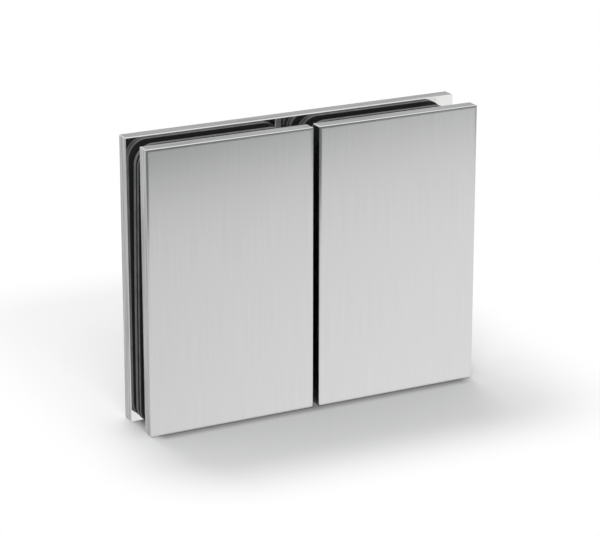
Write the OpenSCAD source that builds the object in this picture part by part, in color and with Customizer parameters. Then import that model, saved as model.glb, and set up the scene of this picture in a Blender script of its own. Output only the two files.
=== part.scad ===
// Fixed connector that holds two glass panes edge to edge in one plane. A full-width
// back plate and two half-width front plates clamp the panes between rubber sheets. In each
// half one sheet is bonded to each plate, and two loose ones hang on the sleeves.
// Each front plate has two tapped bosses that reach through holes in the glass, and
// countersunk screws draw them onto the back plate. Sleeves keep metal off the glass.
// X is the width, Y runs from the front plates to the back plate and Z is up.
// The origin is the middle of the connector, and sizes are in millimetres.

/* [Plates] */
// Width of one front plate
front_plate_w = 55; // [45:0.5:80]
// Height of all three plates
plate_h = 90; // [75:1:140]
// Thickness of each front plate
front_plate_t = 4.5; // [4:0.1:8]
// Thickness of the back plate
back_plate_t = 4.5; // [4:0.1:8]
// Gap between the two front plates
centre_gap = 2; // [1:0.1:6]
// Width of the 45 degree break on every plate edge
edge_break = 0.4; // [0.2:0.05:1]

/* [Glass slot and sheets] */
// Clear depth that is left between the back sheet and the loose sheets
glass_slot = 4.2; // [4.1:0.1:13]
// Thickness of the sheet bonded to each half of the back plate
back_sheet_t = 1.4; // [0.8:0.1:3]
// Thickness of the sheet bonded to each front plate
front_sheet_t = 0.8; // [0.5:0.1:2]
// Thickness of the thick loose sheet
thick_shim_t = 1.6; // [1:0.1:3]
// Thickness of the thin loose sheet
thin_shim_t = 1; // [0.5:0.1:2]
// Room on each face of the thin loose sheet
shim_gap = 0.75; // [0.1:0.05:0.9]
// How much narrower a sheet is than its front plate, on each side
sheet_side_inset = 2.3; // [2.1:0.1:4]
// How much lower a sheet is than its front plate, at each end
sheet_end_inset = 0.6; // [0.6:0.1:3]
// Corner radius of every sheet
sheet_corner_r = 6; // [2:0.5:12]
// Radial room round a sleeve in the hole of a sheet
sheet_hole_clear = 2.1; // [0.5:0.1:2.1]
// Radial room that is left where a sheet lies against a sleeve
hang_gap = 0.1; // [0.05:0.05:0.3]
// Way the thick loose sheet has slipped on its sleeves, below straight left
thick_shim_slip_deg = 7; // [0:1:15]
// Way the thin loose sheet has slipped on its sleeves, below straight left
thin_shim_slip_deg = 13; // [0:1:15]

/* [Bosses and sleeves] */
// Height from the lower boss to the upper boss of a front plate
boss_pitch = 50; // [30:1:54]
// Outer diameter of a boss
boss_d = 10; // [9:0.5:14]
// Break on the free end of a boss
boss_break = 0.5; // [0.2:0.1:0.8]
// Radial room between a boss and its sleeve
sleeve_clear = 0.15; // [0.05:0.05:0.4]
// Wall of a sleeve
sleeve_wall = 1.85; // [1:0.05:3]
// Room between the free end of a sleeve and the back plate
sleeve_room = 1; // [0.5:0.1:2]
// Lead-in on the free end of a sleeve
sleeve_lead = 0.6; // [0.2:0.1:0.8]

/* [Screws] */
// Thread diameter
screw_d = 6; // [5:1:7]
// Length of thread that is held in a boss
thread_grip = 9.5; // [7:0.5:10]
// Diameter of the countersunk head
head_d = 12; // [10:0.5:13]
// Height of the straight rim of the head
head_rim = 0.3; // [0.1:0.1:0.5]
// Width of the hexagon socket across its flats
socket_af = 4; // [3:0.5:5]
// Depth of the hexagon socket
socket_depth = 2.3; // [1.5:0.1:2.5]
// Break on the tip of a screw
tip_break = 0.8; // [0.3:0.1:1]
// Radial room of a screw in the hole of the back plate
screw_hole_clear = 0.3; // [0.1:0.05:0.6]
// Radial room of a head in its countersink
head_clear = 0.1; // [0.05:0.05:0.3]
// Radial room of a thread in its tapped hole
thread_clear = 0.05; // [0.02:0.01:0.1]
// Room beyond the tip of a screw in its blind hole
tip_room = 1; // [0.5:0.1:1.5]
// Break on the mouth of a tapped hole
mouth_break = 0.5; // [0.2:0.1:0.8]

/* [Hidden] */

$fn = 96;
HEXAGON = 6;
LEFT = -1;
RIGHT = 1;
LOWER = -1;
UPPER = 1;

// How far a cut runs past the face that it opens, and a boss into its plate
overrun = 0.5;
// Half the point angle of the drill that makes the blind holes
drill_half_angle = 59;

METAL = [0.76, 0.77, 0.78];
SCREW_METAL = [0.66, 0.67, 0.68];
RUBBER = [0.12, 0.125, 0.13];
PLASTIC = [0.24, 0.245, 0.25];

// Depth from the front plates to the back plate
sheets_depth = front_sheet_t + thin_shim_t + thick_shim_t + back_sheet_t + 2 * shim_gap;
clamp_depth = sheets_depth + glass_slot;
overall_w = 2 * front_plate_w + centre_gap;
overall_d = front_plate_t + clamp_depth + back_plate_t;

// Faces across the depth, from front to back
front_face_y = -overall_d / 2;
front_seat_y = front_face_y + front_plate_t;
thin_shim_y = front_seat_y + front_sheet_t + shim_gap;
thick_shim_y = thin_shim_y + thin_shim_t + shim_gap;
back_seat_y = front_seat_y + clamp_depth;
back_sheet_y = back_seat_y - back_sheet_t;

half_x = (centre_gap + front_plate_w) / 2;
boss_z = boss_pitch / 2;

sheet_w = front_plate_w - 2 * sheet_side_inset;
sheet_h = plate_h - 2 * sheet_end_inset;
sleeve_in_r = boss_d / 2 + sleeve_clear;
sleeve_out_r = sleeve_in_r + sleeve_wall;
sheet_hole_r = sleeve_out_r + sheet_hole_clear;
sheet_slip = sheet_hole_clear - hang_gap;

screw_r = screw_d / 2;
head_r = head_d / 2;
tapped_r = screw_r + thread_clear;
tapped_depth = thread_grip + tip_room;

// Turns a shape that is drawn in X and Y and raised along Z to stand in X and Z, raised along Y
module stand_up() {
    rotate([-90, 0, 0]) children();
}

// Puts its children on a screw axis, at the inner face of the back plate, raised towards the front
module on_screw_axis(side, level) {
    translate([side * half_x, back_seat_y, level * boss_z]) rotate([90, 0, 0]) children();
}

module cut_corner_rect(w, h, cut) {
    x = w / 2;
    y = h / 2;
    polygon([
        [x - cut, y], [cut - x, y], [-x, y - cut], [-x, cut - y],
        [cut - x, -y], [x - cut, -y], [x, cut - y], [x, y - cut]
    ]);
}

module rounded_rect(w, h, r) {
    square([w - 2 * r, h], center = true);
    square([w, h - 2 * r], center = true);
    for (x = [-1, 1], y = [-1, 1])
        translate([x * (w / 2 - r), y * (h / 2 - r)]) circle(r = r);
}

// Slab with all twelve edges broken, centred in X and Z, with its front face at Y = 0
module broken_edge_slab(w, t, h) {
    translate([0, t / 2, 0]) intersection() {
        linear_extrude(h, center = true) cut_corner_rect(w, t, edge_break);
        rotate([90, 0, 0]) linear_extrude(t, center = true) cut_corner_rect(w, h, edge_break);
        rotate([90, 0, 90]) linear_extrude(w, center = true) cut_corner_rect(t, h, edge_break);
    }
}

module boss() {
    rotate_extrude() polygon([
        [0, 0],
        [boss_d / 2 - boss_break, 0],
        [boss_d / 2, boss_break],
        [boss_d / 2, clamp_depth + overrun],
        [0, clamp_depth + overrun]
    ]);
}

// Blind hole with a broken mouth and a drilled point
module tapped_hole() {
    mouth = mouth_break + overrun;
    rotate_extrude() polygon([
        [0, -overrun],
        [tapped_r + mouth, -overrun],
        [tapped_r, mouth_break],
        [tapped_r, tapped_depth],
        [0, tapped_depth + tapped_r / tan(drill_half_angle)]
    ]);
}

// Countersunk hole for a screw, from the back plate's outer face to its inner face
module countersunk_hole() {
    wide_r = head_r + head_clear;
    narrow_r = screw_r + screw_hole_clear;
    cone_z = head_rim - back_plate_t;
    rotate_extrude() polygon([
        [0, -back_plate_t - overrun],
        [wide_r, -back_plate_t - overrun],
        [wide_r, cone_z],
        [narrow_r, cone_z + wide_r - narrow_r],
        [narrow_r, overrun],
        [0, overrun]
    ]);
}

module back_plate() {
    color(METAL) difference() {
        translate([0, back_seat_y, 0]) broken_edge_slab(overall_w, back_plate_t, plate_h);
        for (side = [LEFT, RIGHT], level = [LOWER, UPPER])
            on_screw_axis(side, level) countersunk_hole();
    }
}

module front_plate(side) {
    color(METAL) difference() {
        union() {
            translate([side * half_x, front_face_y, 0])
                broken_edge_slab(front_plate_w, front_plate_t, plate_h);
            for (level = [LOWER, UPPER]) on_screw_axis(side, level) boss();
        }
        for (level = [LOWER, UPPER]) on_screw_axis(side, level) tapped_hole();
    }
}

// Sheet of one half with its front face at y and a hole round each sleeve. It lies to the left, against
// its sleeves, and a loose one has also dropped on them
module rubber_sheet(side, y, t, slip_deg = 0) {
    left = sheet_slip * cos(slip_deg);
    down = sheet_slip * sin(slip_deg);
    color(RUBBER) translate([side * half_x - left, y, -down])
        stand_up() linear_extrude(t) difference() {
            rounded_rect(sheet_w, sheet_h, sheet_corner_r);
            for (level = [LOWER, UPPER]) translate([0, level * boss_z]) circle(r = sheet_hole_r);
        }
}

module back_gasket(side) {
    rubber_sheet(side, back_sheet_y, back_sheet_t);
}

module front_gasket(side) {
    rubber_sheet(side, front_seat_y, front_sheet_t);
}

module thick_shim(side) {
    rubber_sheet(side, thick_shim_y, thick_shim_t, thick_shim_slip_deg);
}

module thin_shim(side) {
    rubber_sheet(side, thin_shim_y, thin_shim_t, thin_shim_slip_deg);
}

// Tube round a boss, from the front plate to just short of the back plate
module sleeve(side, level) {
    color(PLASTIC) on_screw_axis(side, level) rotate_extrude() polygon([
        [sleeve_in_r, sleeve_room],
        [sleeve_out_r - sleeve_lead, sleeve_room],
        [sleeve_out_r, sleeve_room + sleeve_lead],
        [sleeve_out_r, clamp_depth],
        [sleeve_in_r, clamp_depth]
    ]);
}

// Countersunk screw with its head level with the back plate's outer face
module screw() {
    cone_z = head_rim - back_plate_t;
    difference() {
        rotate_extrude() polygon([
            [0, -back_plate_t],
            [head_r, -back_plate_t],
            [head_r, cone_z],
            [screw_r, cone_z + head_r - screw_r],
            [screw_r, thread_grip - tip_break],
            [screw_r - tip_break, thread_grip],
            [0, thread_grip]
        ]);
        translate([0, 0, -back_plate_t - overrun])
            cylinder(d = socket_af / cos(180 / HEXAGON), h = socket_depth + overrun, $fn = HEXAGON);
    }
}

module clamp_screws() {
    color(SCREW_METAL) for (side = [LEFT, RIGHT], level = [LOWER, UPPER])
        on_screw_axis(side, level) screw();
}

back_plate();
front_plate(LEFT);  // front_plate_left
front_plate(RIGHT);  // front_plate_right
back_gasket(LEFT);  // back_gasket_left
back_gasket(RIGHT);  // back_gasket_right
front_gasket(LEFT);  // front_gasket_left
front_gasket(RIGHT);  // front_gasket_right
thick_shim(LEFT);  // thick_shim_left
thick_shim(RIGHT);  // thick_shim_right
thin_shim(LEFT);  // thin_shim_left
thin_shim(RIGHT);  // thin_shim_right
sleeve(LEFT, UPPER);  // sleeve_upper_left
sleeve(LEFT, LOWER);  // sleeve_lower_left
sleeve(RIGHT, UPPER);  // sleeve_upper_right
sleeve(RIGHT, LOWER);  // sleeve_lower_right
clamp_screws();
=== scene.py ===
"""Looks of a fixed glass-to-glass connector: brushed plates, rubber sheets, sleeves and clamp screws.

Lengths are in metres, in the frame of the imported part: X along the width, Y from the front plates to
the back plate and Z up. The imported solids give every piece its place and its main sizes.
"""

import logging
import math
from collections.abc import Iterable, Sequence
from dataclasses import dataclass
from enum import Enum, IntEnum

import bmesh
import bpy
from bmesh.types import BMEdge, BMesh, BMFace, BMVert
from bpy.types import Material, Node, NodeSocket, NodeTree, Object
from mathutils import Matrix, Vector


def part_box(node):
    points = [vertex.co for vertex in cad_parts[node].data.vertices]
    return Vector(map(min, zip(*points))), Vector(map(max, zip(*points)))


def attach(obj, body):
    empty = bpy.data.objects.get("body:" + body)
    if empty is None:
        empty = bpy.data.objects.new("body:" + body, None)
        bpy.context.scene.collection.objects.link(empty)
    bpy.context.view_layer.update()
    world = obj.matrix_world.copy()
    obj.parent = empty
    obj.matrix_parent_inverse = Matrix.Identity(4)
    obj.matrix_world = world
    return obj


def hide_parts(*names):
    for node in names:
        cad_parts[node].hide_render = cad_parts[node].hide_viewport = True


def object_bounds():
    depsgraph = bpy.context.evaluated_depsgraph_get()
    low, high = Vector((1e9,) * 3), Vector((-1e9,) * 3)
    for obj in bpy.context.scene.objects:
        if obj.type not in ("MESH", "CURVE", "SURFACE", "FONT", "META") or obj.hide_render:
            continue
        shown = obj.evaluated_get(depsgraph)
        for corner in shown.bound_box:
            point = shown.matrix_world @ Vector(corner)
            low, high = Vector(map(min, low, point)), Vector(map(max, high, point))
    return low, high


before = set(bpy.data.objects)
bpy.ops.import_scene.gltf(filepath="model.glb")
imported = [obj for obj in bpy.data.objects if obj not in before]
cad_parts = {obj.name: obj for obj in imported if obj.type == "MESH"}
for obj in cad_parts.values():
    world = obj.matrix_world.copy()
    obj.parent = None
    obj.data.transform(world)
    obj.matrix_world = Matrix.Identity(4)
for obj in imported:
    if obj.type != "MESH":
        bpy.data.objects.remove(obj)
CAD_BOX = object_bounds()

# A place, a way or a size in three directions, and the two ends of a range
Triple = tuple[float, float, float]
Span = tuple[float, float]

MM = 0.001
BODY = "root"
BRUSH_UV = "brush"

X, Y, Z = range(3)
ORIGIN = (0.0, 0.0, 0.0)
# Ways that the plates' big faces look
TO_FRONT = Vector((0, -1, 0))
TO_BACK = Vector((0, 1, 0))
# Stands a flat shape upright, across Y
STAND_UP = Matrix.Rotation(math.pi / 2, 4, "X")
# Size that makes a grid one metre wide
UNIT_GRID = 0.5

# A face whose normal is this close to an axis is one of the flat faces
FLAT_DOT = 0.9999
# A face whose normal is this close to an axis still belongs to the face that rolls off there
ROLLED_DOT = math.cos(math.radians(10))
# An edge that turns more than this stays crisp
CRISP_ANGLE = math.radians(30)
# The upright corners of a plate lie within this of its ends
CORNER_REACH = 1.0 * MM
# Points closer than this are one point
WELD = 0.001 * MM
# Sides of a circle, for holes, bosses, sleeves and screws
ROUND_SIDES = 64
HEXAGON = 6

# Sockets of a Mix node by index: its share, its two colours and their mixture, and its two numbers
SHARE, COLOUR_A, COLOUR_B, COLOUR_OUT = 0, 6, 7, 2
NUMBER_A, NUMBER_B = 2, 3

log = logging.getLogger("connector")


class Slot(Enum):
    """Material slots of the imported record."""

    METAL = "brushed_metal"
    RUBBER = "gasket_rubber"
    SLEEVE = "sleeve_plastic"
    SCREW = "screw_steel"


class Side(Enum):
    """The two halves of the connector."""

    LEFT = "left"
    RIGHT = "right"


class Level(Enum):
    """The two heights at which a half is screwed together."""

    UPPER = "upper"
    LOWER = "lower"


class Layer(Enum):
    """The four rubber sheets of a half, from the back plate to the front plate."""

    BACK = "back_gasket"
    THICK = "thick_shim"
    THIN = "thin_shim"
    FRONT = "front_gasket"


# How far the foot of each loose sheet hangs back, because the soft rubber bows on its sleeves
FOOT_BACK = {Layer.THICK: 2.2 * MM, Layer.THIN: 2.0 * MM}


class PlateFinish(IntEnum):
    """Where each of a plate's finishes sits among its materials."""

    FACE = 0
    EDGE = 1
    INNER = 2


class SheetFinish(IntEnum):
    """Where each of a sheet's finishes sits among its materials."""

    FACE = 0
    RIM = 1


def linear(hex_colour: str) -> tuple[float, float, float, float]:
    """Turns an sRGB hex colour to linear light, by the curve of the sRGB standard.

    Args:
        hex_colour: Colour such as "#d0d0d0".

    Returns:
        Red, green, blue and a full alpha.
    """
    parts = [int(hex_colour[i:i + 2], 16) / 255 for i in (1, 3, 5)]
    light = [p / 12.92 if p <= 0.04045 else ((p + 0.055) / 1.055) ** 2.4 for p in parts]
    return (*light, 1.0)


def add_node(tree: NodeTree, kind: str, settings: dict, inputs: dict) -> Node:
    """Adds a node with its settings, values and links.

    Args:
        tree: Node tree that takes the node.
        kind: Blender's name for the type of node.
        settings: The node's own properties by name.
        inputs: A value, or an output socket to link, by input name or index.

    Returns:
        The new node.
    """
    node = tree.nodes.new(kind)
    for name, value in settings.items():
        setattr(node, name, value)
    for name, value in inputs.items():
        if isinstance(value, NodeSocket):
            tree.links.new(value, node.inputs[name])
        else:
            node.inputs[name].default_value = value
    return node


class Finish:
    """A finish that makes its Blender material on first use and then hands out the same one."""

    name: str

    def surface(self, tree: NodeTree) -> NodeSocket:
        """Builds the shader and returns its output socket."""
        raise NotImplementedError

    def material(self) -> Material:
        """Makes the material, or finds it if it is there.

        Returns:
            The material of this finish.
        """
        found = bpy.data.materials.get(self.name)
        if found is not None:
            return found
        made = bpy.data.materials.new(self.name)
        made.use_nodes = True
        tree = made.node_tree
        tree.nodes.clear()
        add_node(tree, "ShaderNodeOutputMaterial", {}, {"Surface": self.surface(tree)})
        return made


@dataclass(frozen=True)
class GroundSteel(Finish):
    """Stainless steel that was ground or polished, with its scratches along V of the brush map."""

    name: str
    dark: str
    light: str
    roughness: float
    roughness_spread: float
    anisotropy: float
    scratch_w: float
    scratch_l: float
    scratch_bump: float
    scratch_depth: float = 0.02 * MM
    scratch_detail: float = 3.0
    scratch_raggedness: float = 0.6
    tone_span: Span = (0.3, 0.7)

    def surface(self, tree: NodeTree) -> NodeSocket:
        """Builds the metal: long fine scratches that vary its tone, gloss and relief.

        Args:
            tree: Node tree of the material.

        Returns:
            The shader's output.
        """
        brush = add_node(tree, "ShaderNodeUVMap", {"uv_map": BRUSH_UV}, {})
        stretched = add_node(tree, "ShaderNodeMapping", {}, {
            "Vector": brush.outputs["UV"],
            "Scale": (1 / self.scratch_w, 1 / self.scratch_l, 1.0),
        })
        scratches = add_node(tree, "ShaderNodeTexNoise", {"noise_dimensions": "2D"}, {
            "Vector": stretched.outputs["Vector"], "Scale": 1.0,
            "Detail": self.scratch_detail, "Roughness": self.scratch_raggedness,
        })
        tone = add_node(tree, "ShaderNodeMapRange", {"interpolation_type": "SMOOTHSTEP"}, {
            "Value": scratches.outputs[0],
            "From Min": self.tone_span[0], "From Max": self.tone_span[1],
        })
        colour = add_node(tree, "ShaderNodeMix", {"data_type": "RGBA"}, {
            SHARE: tone.outputs[0], COLOUR_A: linear(self.dark), COLOUR_B: linear(self.light),
        })
        gloss = add_node(tree, "ShaderNodeMapRange", {}, {
            "Value": tone.outputs[0],
            "To Min": self.roughness + self.roughness_spread,
            "To Max": self.roughness - self.roughness_spread,
        })
        relief = add_node(tree, "ShaderNodeBump", {}, {
            "Strength": self.scratch_bump, "Distance": self.scratch_depth,
            "Height": scratches.outputs[0],
        })
        across = add_node(tree, "ShaderNodeTangent", {
            "direction_type": "UV_MAP", "uv_map": BRUSH_UV,
        }, {})
        shader = add_node(tree, "ShaderNodeBsdfPrincipled", {}, {
            "Base Color": colour.outputs[COLOUR_OUT], "Metallic": 1.0,
            "Roughness": gloss.outputs[0], "Anisotropic": self.anisotropy,
            "Tangent": across.outputs[0], "Normal": relief.outputs[0],
        })
        return shader.outputs[0]


@dataclass(frozen=True)
class GrainedPolymer(Finish):
    """Rubber or plastic: matt dark grey with a fine grain and slightly paler scuffed spots."""

    name: str
    dark: str
    light: str
    roughness: float
    grain: float
    scuff: float
    grain_bump: float
    grain_depth: float = 0.05 * MM
    grain_in_tone: float = 0.4
    scuff_detail: float = 4.0
    scuff_raggedness: float = 0.65
    tone_span: Span = (0.5, 0.9)
    roughness_spread: float = 0.1
    ior: float = 1.52

    def surface(self, tree: NodeTree) -> NodeSocket:
        """Builds the surface: cloudy scuffing over a fine grain.

        Args:
            tree: Node tree of the material.

        Returns:
            The shader's output.
        """
        place = add_node(tree, "ShaderNodeTexCoord", {}, {}).outputs["Object"]
        scuffs = add_node(tree, "ShaderNodeTexNoise", {}, {
            "Vector": place, "Scale": 1 / self.scuff,
            "Detail": self.scuff_detail, "Roughness": self.scuff_raggedness,
        })
        grains = add_node(tree, "ShaderNodeTexNoise", {}, {
            "Vector": place, "Scale": 1 / self.grain,
        })
        both = add_node(tree, "ShaderNodeMath", {"operation": "MULTIPLY_ADD"}, {
            0: grains.outputs[0], 1: self.grain_in_tone, 2: scuffs.outputs[0],
        })
        tone = add_node(tree, "ShaderNodeMapRange", {}, {
            "Value": both.outputs[0],
            "From Min": self.tone_span[0], "From Max": self.tone_span[1],
        })
        colour = add_node(tree, "ShaderNodeMix", {"data_type": "RGBA"}, {
            SHARE: tone.outputs[0], COLOUR_A: linear(self.dark), COLOUR_B: linear(self.light),
        })
        gloss = add_node(tree, "ShaderNodeMapRange", {}, {
            "Value": grains.outputs[0],
            "To Min": self.roughness - self.roughness_spread,
            "To Max": self.roughness + self.roughness_spread,
        })
        relief = add_node(tree, "ShaderNodeBump", {}, {
            "Strength": self.grain_bump, "Distance": self.grain_depth, "Height": grains.outputs[0],
        })
        shader = add_node(tree, "ShaderNodeBsdfPrincipled", {}, {
            "Base Color": colour.outputs[COLOUR_OUT], "Roughness": gloss.outputs[0],
            "IOR": self.ior, "Normal": relief.outputs[0],
        })
        return shader.outputs[0]


@dataclass(frozen=True)
class TurnedSteel(Finish):
    """Screw steel off the lathe: fine rings, which V of the brush map counts outwards."""

    name: str
    dark: str
    light: str
    roughness: float
    ring: float
    ring_bump: float = 0.3
    ring_depth: float = 0.02 * MM
    roughness_spread: float = 0.08

    def surface(self, tree: NodeTree) -> NodeSocket:
        """Builds the metal: turning rings that vary its tone, gloss and relief.

        Args:
            tree: Node tree of the material.

        Returns:
            The shader's output.
        """
        brush = add_node(tree, "ShaderNodeUVMap", {"uv_map": BRUSH_UV}, {})
        stretched = add_node(tree, "ShaderNodeMapping", {}, {
            "Vector": brush.outputs["UV"], "Scale": (1.0, 1 / self.ring, 1.0),
        })
        rings = add_node(tree, "ShaderNodeTexNoise", {"noise_dimensions": "2D"}, {
            "Vector": stretched.outputs["Vector"], "Scale": 1.0,
        })
        colour = add_node(tree, "ShaderNodeMix", {"data_type": "RGBA"}, {
            SHARE: rings.outputs[0], COLOUR_A: linear(self.dark), COLOUR_B: linear(self.light),
        })
        gloss = add_node(tree, "ShaderNodeMapRange", {}, {
            "Value": rings.outputs[0],
            "To Min": self.roughness + self.roughness_spread,
            "To Max": self.roughness - self.roughness_spread,
        })
        relief = add_node(tree, "ShaderNodeBump", {}, {
            "Strength": self.ring_bump, "Distance": self.ring_depth, "Height": rings.outputs[0],
        })
        shader = add_node(tree, "ShaderNodeBsdfPrincipled", {}, {
            "Base Color": colour.outputs[COLOUR_OUT], "Metallic": 1.0,
            "Roughness": gloss.outputs[0], "Normal": relief.outputs[0],
        })
        return shader.outputs[0]


# The outer faces and the upright corners: a belt ground them upright, which blurs reflections sideways
# and keeps them crisp up and down, so the faces shade from the dark front of the surround at the top
# to the floor's painted light pool at the foot. Real scratches are too fine to show, so they are drawn
# 0.45 mm wide
BRUSHED_FACE = GroundSteel(
    "stainless_steel_belt_brushed", dark="#dadada", light="#dddddd", roughness=0.28,
    roughness_spread=0.006, anisotropy=0.9, scratch_w=0.45 * MM, scratch_l=30 * MM,
    scratch_bump=0.006,
)
# The narrow edges: milled along their length, so thin lines run along them, drawn 0.8 mm wide because
# real ones are too fine to show. Their steel is also painted darker than the faces, as painted shade
# for the shadowed floor that they reflect
MILLED_EDGE_PAINTED_SHADE = GroundSteel(
    "stainless_steel_milled_edge_painted_shade", dark="#9c9c9f", light="#b8b8ba", roughness=0.26,
    roughness_spread=0.06, anisotropy=0.3, scratch_w=0.8 * MM, scratch_l=26 * MM,
    scratch_bump=0.1,
)
# The inner faces, bosses, holes and long edges: polished nearly to a mirror, so the floor and the
# sheets show in them and the long edges catch the light as thin bright lines. Faint broad streaks are
# left from the polishing
POLISHED_INNER = GroundSteel(
    "stainless_steel_polished", dark="#e9e9e7", light="#ededeb", roughness=0.06,
    roughness_spread=0.02, anisotropy=0.0, scratch_w=2.0 * MM, scratch_l=20 * MM,
    scratch_bump=0.0,
)
PLATE_FINISHES = (BRUSHED_FACE, MILLED_EDGE_PAINTED_SHADE, POLISHED_INNER)
# The sheets' faces: matt, painted near black as shade for their place deep in the slot, with a grain
# drawn coarse enough to show
SHEET_RUBBER_PAINTED_SHADE = GrainedPolymer(
    "epdm_rubber_calendered_painted_shade", dark="#1f1f20", light="#29292a", roughness=0.72,
    grain=0.35 * MM, scuff=6 * MM, grain_bump=0.25,
)
# The sheets' rims: paler and rougher where a die cut them, and far paler than the faces' painted
# shade, so each sheet shows as a grey line
CUT_RUBBER = GrainedPolymer(
    "epdm_rubber_die_cut", dark="#4d4d4e", light="#666667", roughness=0.8,
    grain=0.3 * MM, scuff=4 * MM, grain_bump=0.35,
)
# The sleeves: moulded, so a smoother, slightly glossier dark grey than the sheets
SLEEVE_PLASTIC = GrainedPolymer(
    "polyamide_moulded", dark="#3c3d3f", light="#444547", roughness=0.48,
    grain=0.5 * MM, scuff=9 * MM, grain_bump=0.08,
)
# The screws: bright steel with turning rings on the heads, drawn coarse enough to show
SCREW_STEEL = TurnedSteel(
    "stainless_steel_turned", dark="#b4b4b3", light="#d2d2d1", roughness=0.26, ring=0.22 * MM,
)


def add_object(bm: BMesh, name: str) -> Object:
    """Closes a bmesh into an object at the origin, with crisp edges and flat faces marked.

    Args:
        bm: Finished shape, which is freed.
        name: Name of the object and its mesh.

    Returns:
        The new object.
    """
    bmesh.ops.remove_doubles(bm, verts=bm.verts[:], dist=WELD)
    bmesh.ops.recalc_face_normals(bm, faces=bm.faces[:])
    for face in bm.faces:
        face.smooth = max(abs(part) for part in face.normal) < FLAT_DOT
    for edge in bm.edges:
        edge.smooth = edge.calc_face_angle(math.pi) < CRISP_ANGLE
    mesh = bpy.data.meshes.new(name)
    bm.to_mesh(mesh)
    bm.free()
    made = bpy.data.objects.new(name, mesh)
    bpy.context.scene.collection.objects.link(made)
    return made


def settle(piece: Object, node: str, finishes: Iterable[Finish]) -> Object:
    """Dresses a piece and lets it stand for its CAD node.

    Args:
        piece: New piece, in place.
        node: CAD node that it replaces.
        finishes: Finishes in the order of the mesh's material indices.

    Returns:
        The same piece.
    """
    for finish in finishes:
        piece.data.materials.append(finish.material())
    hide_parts(node)
    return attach(piece, BODY)


def screw_axes(sides: Iterable[Side]) -> list[Vector]:
    """Finds the screws' axes from the sleeves that sit on them.

    Args:
        sides: Halves of the connector.

    Returns:
        A point on each axis, with the upper one of a half before its lower one.
    """
    boxes = [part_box(f"sleeve_{level.value}_{side.value}") for side in sides for level in Level]
    return [(low + high) / 2 for low, high in boxes]


def broken_slab(bm: BMesh, low: Vector, high: Vector, edge: float, strips: int) -> None:
    """Fills a bmesh with a slab whose twelve edges are rounded, or broken flat by a single strip.

    Args:
        bm: Empty bmesh.
        low: Lowest corner of the slab.
        high: Highest corner of the slab.
        edge: Radius or width of the edges.
        strips: Strips in each edge.
    """
    made = bmesh.ops.create_cube(bm, size=1.0)
    bmesh.ops.scale(bm, vec=high - low, verts=made["verts"])
    bmesh.ops.translate(bm, vec=(low + high) / 2, verts=made["verts"])
    bmesh.ops.bevel(bm, geom=bm.edges[:], offset=edge, offset_type="OFFSET", affect="EDGES",
                    segments=strips, profile=0.5, material=-1)


def largest_face(bm: BMesh, normal: Vector) -> BMFace:
    """Finds the largest face that looks one way.

    Args:
        bm: Mesh with the face.
        normal: Way that the face looks.

    Returns:
        The face.
    """
    facing = [face for face in bm.faces if face.normal.dot(normal) > FLAT_DOT]
    return max(facing, key=lambda face: face.calc_area())


def roll_off(bm: BMesh, normal: Vector, width: float, drop: float) -> None:
    """Raises a face a hair above its rim, so that it rolls off towards its edges.

    Args:
        bm: Mesh with the face.
        normal: Way that the face looks.
        width: Width of the rim.
        drop: How much lower the rim's edge lies.
    """
    bmesh.ops.inset_region(bm, faces=[largest_face(bm, normal)], thickness=width, depth=drop,
                           use_boundary=True, use_even_offset=True)


def ring_at(bm: BMesh, centre: Vector, radius: float, sides: int) -> list[BMEdge]:
    """Adds a ring of edges that stands across Y.

    Args:
        bm: Mesh that takes the ring.
        centre: Middle of the ring.
        radius: Radius to the ring's points.
        sides: Number of edges.

    Returns:
        The ring's edges.
    """
    made = bmesh.ops.create_circle(bm, cap_ends=False, radius=radius, segments=sides,
                                   matrix=Matrix.Translation(centre) @ STAND_UP)
    return list({edge for vert in made["verts"] for edge in vert.link_edges})


def pierce_face(
    bm: BMesh, normal: Vector, axes: Sequence[Vector], radius: float,
) -> list[list[BMEdge]]:
    """Opens round holes in the largest face that looks one way.

    Args:
        bm: Mesh with the face.
        normal: Way that the face looks, along Y.
        axes: Points on the holes' axes.
        radius: Radius of the holes.

    Returns:
        The ring of edges round each hole.
    """
    whole = largest_face(bm, normal)
    rim = whole.edges[:]
    depth = whole.verts[0].co.y
    bmesh.ops.delete(bm, geom=[whole], context="FACES_ONLY")
    rings = [ring_at(bm, Vector((axis.x, depth, axis.z)), radius, ROUND_SIDES) for axis in axes]
    bmesh.ops.triangle_fill(bm, use_beauty=True, edges=rim + sum(rings, []), normal=normal)
    return rings


def draw_ring(
    bm: BMesh, ring: list[BMEdge], stations: Sequence[tuple[float, float]],
) -> list[BMEdge]:
    """Draws a ring of edges out along Y, through stations that set its radius and depth.

    Args:
        bm: Mesh with the ring.
        ring: Edges of a ring that stands across Y.
        stations: Radius and Y of each next ring; a radius of 0 closes it to a point.

    Returns:
        The edges of the last ring, empty if it was closed.
    """
    for radius, depth in stations:
        drawn = bmesh.ops.extrude_edge_only(bm, edges=ring)["geom"]
        verts = [part for part in drawn if isinstance(part, BMVert)]
        fresh = set(verts)
        ring = [part for part in drawn if isinstance(part, BMEdge) and fresh.issuperset(part.verts)]
        middle = sum((vert.co for vert in verts), Vector()) / len(verts)
        if radius == 0:
            bmesh.ops.pointmerge(bm, verts=verts, merge_co=Vector((middle.x, depth, middle.z)))
            return []
        share = radius / (verts[0].co - middle).length
        bmesh.ops.scale(bm, vec=(share, 1.0, share), space=Matrix.Translation(-middle), verts=verts)
        bmesh.ops.translate(bm, vec=(0.0, depth - middle.y, 0.0), verts=verts)
    return ring


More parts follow.
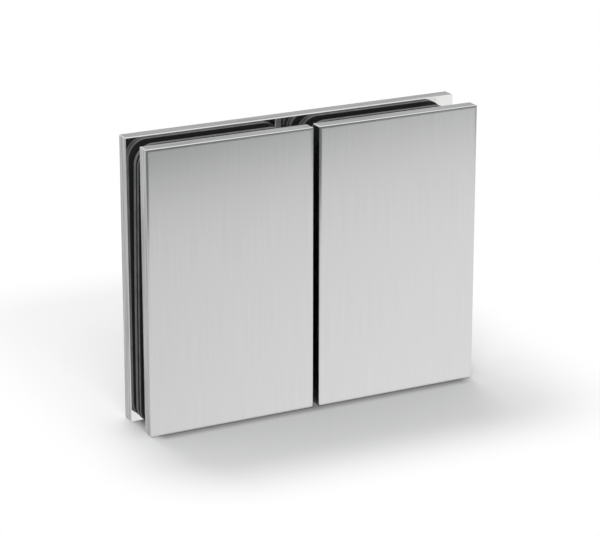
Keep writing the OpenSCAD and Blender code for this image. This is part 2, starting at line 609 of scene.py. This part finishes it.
def lay_brush_map(bm: BMesh) -> None:
    """Lays a UV map in metres whose V follows the brushing.

    V runs up the big faces and the ends, and along the narrow top and bottom.

    Args:
        bm: Mesh that takes the map.
    """
    layer = bm.loops.layers.uv.new(BRUSH_UV)
    for face in bm.faces:
        x, y, z = (abs(part) for part in face.normal)
        if z > max(x, y):
            across, along = Y, X
        elif y > x:
            across, along = X, Z
        else:
            across, along = Y, Z
        for loop in face.loops:
            loop[layer].uv = (loop.vert.co[across], loop.vert.co[along])


def mark_plate(bm: BMesh, outer_y: float, inner_y: float) -> None:
    """Gives each face of a plate its finish.

    Args:
        bm: Mesh of the plate.
        outer_y: Depth of the face that is seen.
        inner_y: Depth of the face that looks at the glass.
    """
    left_end = min(vert.co.x for vert in bm.verts) + CORNER_REACH
    right_end = max(vert.co.x for vert in bm.verts) - CORNER_REACH
    for face in bm.faces:
        place = face.calc_center_median()
        x, y, z = (abs(part) for part in face.normal)
        in_slab = min(outer_y, inner_y) < place.y < max(outer_y, inner_y)
        upright_corner = in_slab and z < x and not left_end < place.x < right_end
        nearer_outside = abs(place.y - outer_y) < abs(place.y - inner_y)
        if in_slab and max(x, z) > FLAT_DOT:
            face.material_index = PlateFinish.EDGE
        elif upright_corner or (y > ROLLED_DOT and nearer_outside):
            face.material_index = PlateFinish.FACE
        else:
            face.material_index = PlateFinish.INNER


def close_plate(bm: BMesh, name: str, outer_y: float, inner_y: float) -> Object:
    """Welds a plate, maps its brushing, marks its finishes and makes it an object.

    Args:
        bm: Finished shape, which is freed.
        name: Name of the object and its mesh.
        outer_y: Depth of the face that is seen.
        inner_y: Depth of the face that looks at the glass.

    Returns:
        The plate's object.
    """
    bmesh.ops.remove_doubles(bm, verts=bm.verts[:], dist=WELD)
    bmesh.ops.recalc_face_normals(bm, faces=bm.faces[:])
    lay_brush_map(bm)
    mark_plate(bm, outer_y, inner_y)
    return add_object(bm, name)


@dataclass
class BackPlate:
    """The plate across both halves, with a countersunk hole at each screw.

    Its edges are broken flat, so each of them catches the light as one thin line.
    """

    node: str = "back_plate"
    edge_break: float = 0.25 * MM
    edge_strips: int = 1
    hole_r: float = 3.3 * MM
    sink_r: float = 6.1 * MM
    sink_rim: float = 0.3 * MM

    def build(self) -> Object:
        """Builds the slab and drills it from the back.

        Returns:
            The plate's object.
        """
        low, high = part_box(self.node)
        axes = screw_axes(Side)
        bm = bmesh.new()
        broken_slab(bm, low, high, self.edge_break, self.edge_strips)
        cone_y = high.y - self.sink_rim
        for ring in pierce_face(bm, TO_BACK, axes, self.sink_r):
            draw_ring(bm, ring, [
                (self.sink_r, cone_y),
                (self.hole_r, cone_y - (self.sink_r - self.hole_r)),
                (self.hole_r, low.y),
            ])
        pierce_face(bm, TO_FRONT, axes, self.hole_r)
        return close_plate(bm, "plate_back", outer_y=high.y, inner_y=low.y)

    def dress(self, plate: Object) -> Object:
        """Gives the plate its finishes and its place."""
        return settle(plate, self.node, PLATE_FINISHES)


@dataclass
class FrontPlate:
    """The plate of one half, with two tapped bosses on its inner face.

    Its edges are rounded, and the grinding has rolled its outer face off by a hair along them, so a
    thin dark line lies inside each bright edge.
    """

    side: Side
    plate_t: float = 4.5 * MM
    roll_w: float = 0.45 * MM
    roll_drop: float = 0.025 * MM
    edge_radius: float = 0.4 * MM
    edge_strips: int = 6
    boss_r: float = 5.0 * MM
    boss_break: float = 0.5 * MM
    tapped_r: float = 3.05 * MM
    mouth_break: float = 0.5 * MM
    tapped_depth: float = 10.5 * MM
    drill_half_angle: float = math.radians(59)

    @property
    def node(self) -> str:
        """Name of the CAD node."""
        return f"front_plate_{self.side.value}"

    def build(self) -> Object:
        """Builds the slab and draws the bosses and their blind holes from its inner face.

        Returns:
            The plate's object.
        """
        low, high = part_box(self.node)
        seat_y = low.y + self.plate_t
        rim_low = low + self.roll_drop * TO_BACK
        bm = bmesh.new()
        broken_slab(bm, rim_low, Vector((high.x, seat_y, high.z)), self.edge_radius, self.edge_strips)
        roll_off(bm, TO_FRONT, self.roll_w, self.roll_drop)
        floor_y = high.y - self.tapped_depth
        for ring in pierce_face(bm, TO_BACK, screw_axes([self.side]), self.boss_r):
            draw_ring(bm, ring, [
                (self.boss_r, high.y - self.boss_break),
                (self.boss_r - self.boss_break, high.y),
                (self.tapped_r + self.mouth_break, high.y),
                (self.tapped_r, high.y - self.mouth_break),
                (self.tapped_r, floor_y),
                (0, floor_y - self.tapped_r / math.tan(self.drill_half_angle)),
            ])
        return close_plate(bm, f"plate_front_{self.side.value}", outer_y=low.y, inner_y=seat_y)

    def dress(self, plate: Object) -> Object:
        """Gives the plate its finishes and its place."""
        return settle(plate, self.node, PLATE_FINISHES)


@dataclass
class RubberLayer:
    """One rubber sheet: round corners, a hole round each sleeve and softly broken rims."""

    layer: Layer
    side: Side
    corner_r: float = 6.0 * MM
    corner_strips: int = 12
    hole_r: float = 9.1 * MM
    rim_r: float = 0.12 * MM
    rim_strips: int = 2
    bow_strips: int = 12
    cut_snap: float = 0.25 * MM

    @property
    def node(self) -> str:
        """Name of the CAD node."""
        return f"{self.layer.value}_{self.side.value}"

    def cut_outline(self, bm: BMesh, low: Vector, high: Vector) -> None:
        """Cuts a flat sheet with round corners and a hole round each sleeve.

        Args:
            bm: Empty bmesh.
            low: Lowest corner of the sheet's box, in whose plane it is cut.
            high: Highest corner of the sheet's box.
        """
        middle = (low + high) / 2
        place = Matrix.Translation((middle.x, low.y, middle.z))
        made = bmesh.ops.create_grid(bm, x_segments=1, y_segments=1, size=UNIT_GRID,
                                     matrix=place @ STAND_UP)
        size = Vector((high.x - low.x, 1.0, high.z - low.z))
        bmesh.ops.scale(bm, vec=size, space=Matrix.Translation(-middle), verts=made["verts"])
        bmesh.ops.bevel(bm, geom=bm.verts[:], offset=self.corner_r, offset_type="OFFSET",
                        affect="VERTICES", segments=self.corner_strips, profile=0.5, material=-1)
        bm.normal_update()
        upper, lower = screw_axes([self.side])
        half_pitch = Vector((0, 0, (upper.z - lower.z) / 2))
        holes = [middle - half_pitch, middle + half_pitch]
        pierce_face(bm, bm.faces[:][0].normal.copy(), holes, self.hole_r)

    def cut_strips(self, bm: BMesh, low: float, high: float) -> None:
        """Cuts a flat sheet across into strips that can bow.

        Args:
            bm: Mesh of the sheet.
            low: Height of its foot.
            high: Height of its head.
        """
        for strip in range(1, self.bow_strips):
            height = low + (high - low) * strip / self.bow_strips
            bmesh.ops.bisect_plane(bm, geom=bm.verts[:] + bm.edges[:] + bm.faces[:],
                                   dist=self.cut_snap, plane_co=(0.0, 0.0, height),
                                   plane_no=(0.0, 0.0, 1.0))

    def thicken(self, bm: BMesh, thickness: float) -> None:
        """Thickens a flat sheet, breaks its rims and marks its finishes.

        Args:
            bm: Mesh of the sheet.
            thickness: Thickness of the sheet, towards the back.
        """
        drawn = bmesh.ops.extrude_face_region(bm, geom=bm.faces[:])["geom"]
        lifted = [part for part in drawn if isinstance(part, BMVert)]
        bmesh.ops.translate(bm, vec=thickness * TO_BACK, verts=lifted)
        bmesh.ops.recalc_face_normals(bm, faces=bm.faces[:])
        rims = [edge for edge in bm.edges if edge.calc_face_angle(0.0) > CRISP_ANGLE]
        bmesh.ops.bevel(bm, geom=rims, offset=self.rim_r, offset_type="OFFSET", affect="EDGES",
                        segments=self.rim_strips, profile=0.5, material=-1)
        bm.normal_update()
        for face in bm.faces:
            flat = abs(face.normal.y) > FLAT_DOT
            face.material_index = SheetFinish.FACE if flat else SheetFinish.RIM

    def bow(self, sheet: Object, low: float, high: float) -> None:
        """Lets a sheet hang back from its head, most steeply at the top.

        Args:
            sheet: Straight sheet.
            low: Height of its foot.
            high: Height of its head.
        """
        for vert in sheet.data.vertices:
            up = (vert.co.z - low) / (high - low)
            vert.co.y += FOOT_BACK[self.layer] * (1 - up ** 2)

    def build(self) -> Object:
        """Cuts the sheet, thickens it and, if it is a loose one, bows it.

        Returns:
            The sheet's object.
        """
        low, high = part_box(self.node)
        loose = self.layer in FOOT_BACK
        bm = bmesh.new()
        self.cut_outline(bm, low, high)
        if loose:
            self.cut_strips(bm, low.z, high.z)
        self.thicken(bm, high.y - low.y)
        sheet = add_object(bm, f"rubber_{self.node}")
        if loose:
            self.bow(sheet, low.z, high.z)
        return sheet

    def dress(self, sheet: Object) -> Object:
        """Gives the sheet its finishes and its place."""
        return settle(sheet, self.node, (SHEET_RUBBER_PAINTED_SHADE, CUT_RUBBER))


@dataclass
class Sleeve:
    """The plastic tube that keeps a boss off the glass."""

    side: Side
    level: Level
    bore_r: float = 5.15 * MM
    lead: float = 0.6 * MM
    rim_r: float = 0.15 * MM

    @property
    def node(self) -> str:
        """Name of the CAD node."""
        return f"sleeve_{self.level.value}_{self.side.value}"

    def build(self) -> Object:
        """Spins the tube's section round the screw's axis.

        Returns:
            The sleeve's object.
        """
        low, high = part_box(self.node)
        middle = (low + high) / 2
        outer_r = (high.x - low.x) / 2
        section = [
            (self.bore_r, low.y), (outer_r - self.rim_r, low.y), (outer_r, low.y + self.rim_r),
            (outer_r, high.y - self.lead), (outer_r - self.lead, high.y), (self.bore_r, high.y),
        ]
        bm = bmesh.new()
        verts = [bm.verts.new((middle.x + r, y, middle.z)) for r, y in section]
        edges = [bm.edges.new((a, b)) for a, b in zip(verts, verts[1:] + verts[:1])]
        bmesh.ops.spin(bm, geom=verts + edges, cent=middle, axis=TO_BACK, angle=math.tau,
                       steps=ROUND_SIDES, use_merge=True)
        return add_object(bm, f"tube_{self.node}")

    def dress(self, sleeve: Object) -> Object:
        """Gives the sleeve its finish and its place."""
        return settle(sleeve, self.node, (SLEEVE_PLASTIC,))


@dataclass
class ClampScrews:
    """The four countersunk screws with hexagon sockets, in one piece as in one node."""

    node: str = "clamp_screws"
    head_r: float = 6.0 * MM
    head_round: float = 0.12 * MM
    head_rim: float = 0.3 * MM
    shank_r: float = 3.0 * MM
    tip_break: float = 0.8 * MM
    socket_af: float = 4.0 * MM
    socket_depth: float = 2.3 * MM
    socket_point: float = 0.6 * MM
    socket_break: float = 0.25 * MM

    def screw(self, bm: BMesh, axis: Vector, tip_y: float, top_y: float) -> None:
        """Adds one screw.

        Args:
            bm: Mesh that takes the screw.
            axis: Point on its axis.
            tip_y: Depth of its tip.
            top_y: Depth of the top of its head.
        """
        top = Vector((axis.x, top_y, axis.z))
        corner_r = self.socket_af / 2 / math.cos(math.pi / HEXAGON)
        crown = ring_at(bm, top, self.head_r - self.head_round, ROUND_SIDES)
        socket = ring_at(bm, top, corner_r + self.socket_break, HEXAGON)
        bmesh.ops.triangle_fill(bm, use_beauty=True, edges=crown + socket, normal=TO_BACK)
        floor_y = top_y - self.socket_depth
        draw_ring(bm, socket, [
            (corner_r, top_y - self.socket_break),
            (corner_r, floor_y),
            (0, floor_y - self.socket_point),
        ])
        cone_y = top_y - self.head_rim
        draw_ring(bm, crown, [
            (self.head_r, top_y - self.head_round),
            (self.head_r, cone_y),
            (self.shank_r, cone_y - (self.head_r - self.shank_r)),
            (self.shank_r, tip_y + self.tip_break),
            (self.shank_r - self.tip_break, tip_y),
            (0, tip_y),
        ])

    def build(self) -> Object:
        """Builds the screws and a map whose V counts outwards from each axis.

        Returns:
            The screws' object.
        """
        low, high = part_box(self.node)
        axes = screw_axes(Side)
        bm = bmesh.new()
        for axis in axes:
            self.screw(bm, axis, low.y, high.y)
        layer = bm.loops.layers.uv.new(BRUSH_UV)
        for face in bm.faces:
            place = face.calc_center_median()
            axis = min(axes, key=lambda point: (point.xz - place.xz).length)
            for loop in face.loops:
                out = loop.vert.co - axis
                loop[layer].uv = (0.0, out.xz.length + out.y)
        return add_object(bm, "screws_clamp")

    def dress(self, screws: Object) -> Object:
        """Gives the screws their finish and their place."""
        return settle(screws, self.node, (SCREW_STEEL,))


@dataclass(frozen=True)
class StudioFloor(Finish):
    """Matt white table: a painted contact shadow under the plates, shaded near by and plain white
    further off.

    Each rectangle on it is given by half its sizes, and is taller than any place on the floor.
    """

    name: str = "studio_floor_matt_white_painted_shade_and_light"
    colour: str = "#dfdfdf"
    # The plates stand on the long sides of this rectangle, and the floor is painted darker this near
    # to them, a painted contact shadow
    painted_contact_shadow_colour: str = "#9f9f9f"
    painted_contact_shadow_half: Triple = (51 * MM, CAD_BOX[1].y, 1.0)
    painted_contact_shadow_reach: float = 4.5 * MM
    # Round this rectangle the eye sees the shadow out to one reach, and plain white from the other on
    shade_middle: Triple = (7 * MM, 37 * MM, 0.0)
    shade_half: Triple = (46 * MM, 63 * MM, 1.0)
    shadow_reach: float = 12 * MM
    white_reach: float = 48 * MM
    # In this rectangle, and this near to it, a mirror sees the floor unlit
    contact_half: Triple = (40 * MM, CAD_BOX[1].y, 1.0)
    contact_reach: float = 1.5 * MM
    # Painted light pool that only a mirror sees: along this way its white rises from dim to full
    painted_pool_way: Triple = (0.775, 0.632, 0.0)
    painted_pool_dim_at: float = -200 * MM
    painted_pool_white_at: float = 15.4 * MM
    painted_pool_dim: float = 0.6855
    # Lower limits that keep how far inside a place lies along Y, and nothing along X and Z
    keep_inside_y: Triple = (0.0, -1.0, 0.0)

    def past_rectangle(
        self, tree: NodeTree, middle: Triple, half: Triple,
    ) -> tuple[NodeSocket, NodeSocket]:
        """Measures how far a place on the floor lies past an upright rectangle.

        Args:
            tree: Node tree of the material.
            middle: Middle of the rectangle.
            half: Half of its sizes.

        Returns:
            The signed distance past each side, and the distance from the rectangle's rim outwards.
        """
        place = add_node(tree, "ShaderNodeTexCoord", {}, {}).outputs["Object"]
        centred = add_node(tree, "ShaderNodeVectorMath", {"operation": "SUBTRACT"}, {
            0: place, 1: middle,
        })
        folded = add_node(tree, "ShaderNodeVectorMath", {"operation": "ABSOLUTE"}, {
            0: centred.outputs[0],
        })
        past = add_node(tree, "ShaderNodeVectorMath", {"operation": "SUBTRACT"}, {
            0: folded.outputs[0], 1: half,
        })
        outside = add_node(tree, "ShaderNodeVectorMath", {"operation": "MAXIMUM"}, {
            0: past.outputs[0], 1: ORIGIN,
        })
        away = add_node(tree, "ShaderNodeVectorMath", {"operation": "LENGTH"}, {
            0: outside.outputs[0],
        })
        return past.outputs[0], away.outputs["Value"]

    def far_off(self, tree: NodeTree) -> NodeSocket:
        """Tells how white the eye sees the floor: not near the object, and fully further off.

        Args:
            tree: Node tree of the material.

        Returns:
            The share of white.
        """
        _, away = self.past_rectangle(tree, self.shade_middle, self.shade_half)
        far = add_node(tree, "ShaderNodeMapRange", {"interpolation_type": "SMOOTHSTEP"}, {
            "Value": away, "From Min": self.shadow_reach, "From Max": self.white_reach,
        })
        return far.outputs[0]

    def clear_of_plates(self, tree: NodeTree) -> NodeSocket:
        """Tells how white a mirror sees the floor: not under the plates, and fully beside them.

        Args:
            tree: Node tree of the material.

        Returns:
            The share of white.
        """
        past, away = self.past_rectangle(tree, ORIGIN, self.contact_half)
        past_parts = add_node(tree, "ShaderNodeSeparateXYZ", {}, {0: past})
        from_line = add_node(tree, "ShaderNodeMath", {"operation": "ABSOLUTE"}, {
            0: past_parts.outputs["Y"],
        })
        nearest = add_node(tree, "ShaderNodeMath", {"operation": "MINIMUM"}, {
            0: from_line.outputs[0], 1: away,
        })
        clear = add_node(tree, "ShaderNodeMapRange", {"interpolation_type": "SMOOTHSTEP"}, {
            "Value": nearest.outputs[0], "From Min": 0.0, "From Max": self.contact_reach,
        })
        return clear.outputs[0]

    def painted_pool_level(self, tree: NodeTree) -> NodeSocket:
        """Tells how bright the painted light pool is to a mirror: dim in front on the left, full at
        the back.

        Args:
            tree: Node tree of the material.

        Returns:
            The strength of the white.
        """
        place = add_node(tree, "ShaderNodeTexCoord", {}, {}).outputs["Object"]
        along = add_node(tree, "ShaderNodeVectorMath", {"operation": "DOT_PRODUCT"}, {
            0: place, 1: self.painted_pool_way,
        })
        level = add_node(tree, "ShaderNodeMapRange", {}, {
            "Value": along.outputs["Value"], "From Min": self.painted_pool_dim_at,
            "From Max": self.painted_pool_white_at, "To Min": self.painted_pool_dim,
        })
        return level.outputs[0]

    def paint(self, tree: NodeTree) -> NodeSocket:
        """Colours the matt floor, with a painted contact shadow along the lines on which the plates
        stand.

        Args:
            tree: Node tree of the material.

        Returns:
            The colour.
        """
        past, _ = self.past_rectangle(tree, ORIGIN, self.painted_contact_shadow_half)
        to_lines = add_node(tree, "ShaderNodeVectorMath", {"operation": "MAXIMUM"}, {
            0: past, 1: self.keep_inside_y,
        })
        from_lines = add_node(tree, "ShaderNodeVectorMath", {"operation": "LENGTH"}, {
            0: to_lines.outputs[0],
        })
        clear_of_painted_contact_shadow = add_node(tree, "ShaderNodeMapRange", {"interpolation_type": "SMOOTHSTEP"}, {
            "Value": from_lines.outputs["Value"], "From Min": 0.0, "From Max": self.painted_contact_shadow_reach,
        })
        # Painted contact shadow: darker paint near the lines, the floor's own colour further off
        mixed = add_node(tree, "ShaderNodeMix", {"data_type": "RGBA"}, {
            SHARE: clear_of_painted_contact_shadow.outputs[0],
            COLOUR_A: linear(self.painted_contact_shadow_colour), COLOUR_B: linear(self.colour),
        })
        return mixed.outputs[COLOUR_OUT]

    def surface(self, tree: NodeTree) -> NodeSocket:
        """Builds the floor: shaded round the object, and white further off to eye and mirror, which
        sees a painted light pool.

        Args:
            tree: Node tree of the material.

        Returns:
            The shader's output.
        """
        path = add_node(tree, "ShaderNodeLightPath", {}, {})
        seen_white = add_node(tree, "ShaderNodeMath", {"operation": "MULTIPLY"}, {
            0: self.far_off(tree), 1: path.outputs["Is Camera Ray"],
        })
        mirrored = add_node(tree, "ShaderNodeMath", {"operation": "MAXIMUM"}, {
            0: path.outputs["Is Glossy Ray"], 1: path.outputs["Is Transmission Ray"],
        })
        mirrored_white = add_node(tree, "ShaderNodeMath", {"operation": "MULTIPLY"}, {
            0: mirrored.outputs[0], 1: self.clear_of_plates(tree),
        })
        white_share = add_node(tree, "ShaderNodeMath", {"operation": "MAXIMUM"}, {
            0: seen_white.outputs[0], 1: mirrored_white.outputs[0],
        })
        # The eye sees plain white, a mirror sees the painted light pool
        white_and_painted_pool_strength = add_node(tree, "ShaderNodeMix", {"data_type": "FLOAT"}, {
            SHARE: path.outputs["Is Camera Ray"], NUMBER_A: self.painted_pool_level(tree), NUMBER_B: 1.0,
        })
        matt = add_node(tree, "ShaderNodeBsdfDiffuse", {}, {"Color": self.paint(tree)})
        white = add_node(tree, "ShaderNodeEmission", {}, {"Strength": white_and_painted_pool_strength.outputs[0]})
        shown = add_node(tree, "ShaderNodeMixShader", {}, {
            0: white_share.outputs[0], 1: matt.outputs[0], 2: white.outputs[0],
        })
        return shown.outputs[0]


@dataclass(frozen=True)
class SoftLamp:
    """A square soft lamp that is aimed at the object and doesn't show in its mirror faces."""

    name: str
    power: float
    size: float
    place: Triple

    def build(self) -> Object:
        """Hangs the lamp.

        Returns:
            The lamp's object.
        """
        data = bpy.data.lights.new(self.name, "AREA")
        data.energy = self.power
        data.size = self.size
        made = bpy.data.objects.new(self.name, data)
        made.location = self.place
        made.rotation_euler = (-Vector(self.place)).to_track_quat("-Z", "Y").to_euler()
        made.visible_camera = False
        made.visible_glossy = False
        bpy.context.scene.collection.objects.link(made)
        return made


@dataclass
class Studio:
    """The table, the white surround and the soft lamps."""

    floor_front: float = 256 * MM
    floor_back: float = 620 * MM
    floor_half_w: float = 700 * MM
    floor_turn: float = math.radians(-16)
    front_colour: str = "#737977"
    back_colour: str = "#e7e7e7"
    top_colour: str = "#f9f9f9"
    seen_colour: str = "#ffffff"
    # The surround goes from front to back over this span of a way's Y, and up to the top over one of Z
    behind_span: Span = (-0.4, 0.4)
    above_span: Span = (0.5, 0.85)
    lamps: tuple[SoftLamp, ...] = (
        SoftLamp("lamp_behind", power=2.8, size=0.45, place=(0.04, 0.42, 0.75)),
        SoftLamp("lamp_front", power=2.0, size=0.35, place=(-0.22, -0.5, 0.5)),
    )

    def floor(self) -> Object:
        """Lays the table under the object.

        Returns:
            The floor's object.
        """
        bm = bmesh.new()
        verts = bmesh.ops.create_grid(bm, x_segments=1, y_segments=1, size=UNIT_GRID)["verts"]
        depth = self.floor_front + self.floor_back
        middle_y = (self.floor_back - self.floor_front) / 2
        bmesh.ops.scale(bm, vec=(2 * self.floor_half_w, depth, 1.0), verts=verts)
        bmesh.ops.translate(bm, vec=(0.0, middle_y, CAD_BOX[0].z), verts=verts)
        bmesh.ops.rotate(bm, cent=ORIGIN, matrix=Matrix.Rotation(self.floor_turn, 3, "Z"), verts=verts)
        table = add_object(bm, "studio_floor")
        table.data.materials.append(StudioFloor().material())
        return table

    def surround(self) -> None:
        """Sets the world: white to the camera, and a dark front under a bright top to the object."""
        world = bpy.data.worlds.new("studio_surround")
        bpy.context.scene.world = world
        world.use_nodes = True
        tree = world.node_tree
        tree.nodes.clear()
        way = add_node(tree, "ShaderNodeTexCoord", {}, {}).outputs["Generated"]
        parts = add_node(tree, "ShaderNodeSeparateXYZ", {}, {0: way})
        behind = add_node(tree, "ShaderNodeMapRange", {"interpolation_type": "SMOOTHSTEP"}, {
            "Value": parts.outputs["Y"],
            "From Min": self.behind_span[0], "From Max": self.behind_span[1],
        })
        above = add_node(tree, "ShaderNodeMapRange", {"interpolation_type": "SMOOTHSTEP"}, {
            "Value": parts.outputs["Z"],
            "From Min": self.above_span[0], "From Max": self.above_span[1],
        })
        sides = add_node(tree, "ShaderNodeMix", {"data_type": "RGBA"}, {
            SHARE: behind.outputs[0],
            COLOUR_A: linear(self.front_colour), COLOUR_B: linear(self.back_colour),
        })
        dome = add_node(tree, "ShaderNodeMix", {"data_type": "RGBA"}, {
            SHARE: above.outputs[0],
            COLOUR_A: sides.outputs[COLOUR_OUT], COLOUR_B: linear(self.top_colour),
        })
        path = add_node(tree, "ShaderNodeLightPath", {}, {})
        seen = add_node(tree, "ShaderNodeMix", {"data_type": "RGBA"}, {
            SHARE: path.outputs["Is Camera Ray"],
            COLOUR_A: dome.outputs[COLOUR_OUT], COLOUR_B: linear(self.seen_colour),
        })
        glow = add_node(tree, "ShaderNodeBackground", {}, {
            "Color": seen.outputs[COLOUR_OUT], "Strength": 1.0,
        })
        add_node(tree, "ShaderNodeOutputWorld", {}, {"Surface": glow.outputs[0]})

    def build(self) -> None:
        """Sets up the floor, the surround and the lamps."""
        self.floor()
        self.surround()
        for lamp in self.lamps:
            lamp.build()
        bpy.context.scene.view_settings.view_transform = "Standard"


@dataclass
class ViewCamera:
    """The camera, to the left of the front and above the object."""

    azimuth: float = math.radians(-27.214)
    elevation: float = math.radians(18.396)
    distance: float = 793.33 * MM
    target: Triple = (-0.636 * MM, 0.0, -2.284 * MM)
    # Lens and sensor in millimetres, as Blender has them
    lens: float = 154.42
    sensor_w: float = 36.0
    clip_start: float = 10 * MM

    def build(self) -> Object:
        """Places the camera and makes it the scene's own.

        Returns:
            The camera's object.
        """
        back = Vector((
            math.sin(self.azimuth) * math.cos(self.elevation),
            -math.cos(self.azimuth) * math.cos(self.elevation),
            math.sin(self.elevation),
        ))
        data = bpy.data.cameras.new("view_camera")
        data.sensor_fit = "HORIZONTAL"
        data.sensor_width = self.sensor_w
        data.lens = self.lens
        data.clip_start = self.clip_start
        made = bpy.data.objects.new("view_camera", data)
        made.location = Vector(self.target) + back * self.distance
        made.rotation_euler = (-back).to_track_quat("-Z", "Y").to_euler()
        bpy.context.scene.collection.objects.link(made)
        bpy.context.scene.camera = made
        return made


def main() -> None:
    """Builds and dresses every piece in order, then the studio and the camera."""
    logging.basicConfig(level=logging.INFO, format="%(name)s: %(message)s")
    makers: list[BackPlate | FrontPlate | RubberLayer | Sleeve | ClampScrews] = [
        BackPlate(),
        *(FrontPlate(side) for side in Side),
        *(RubberLayer(layer, side) for layer in Layer for side in Side),
        *(Sleeve(side, level) for side in Side for level in Level),
        ClampScrews(),
    ]
    for maker in makers:
        piece = maker.dress(maker.build())
        log.info("%s stands for %s with %d faces", piece.name, maker.node, len(piece.data.polygons))
    Studio().build()
    ViewCamera().build()


if __name__ == "__main__":
    main()
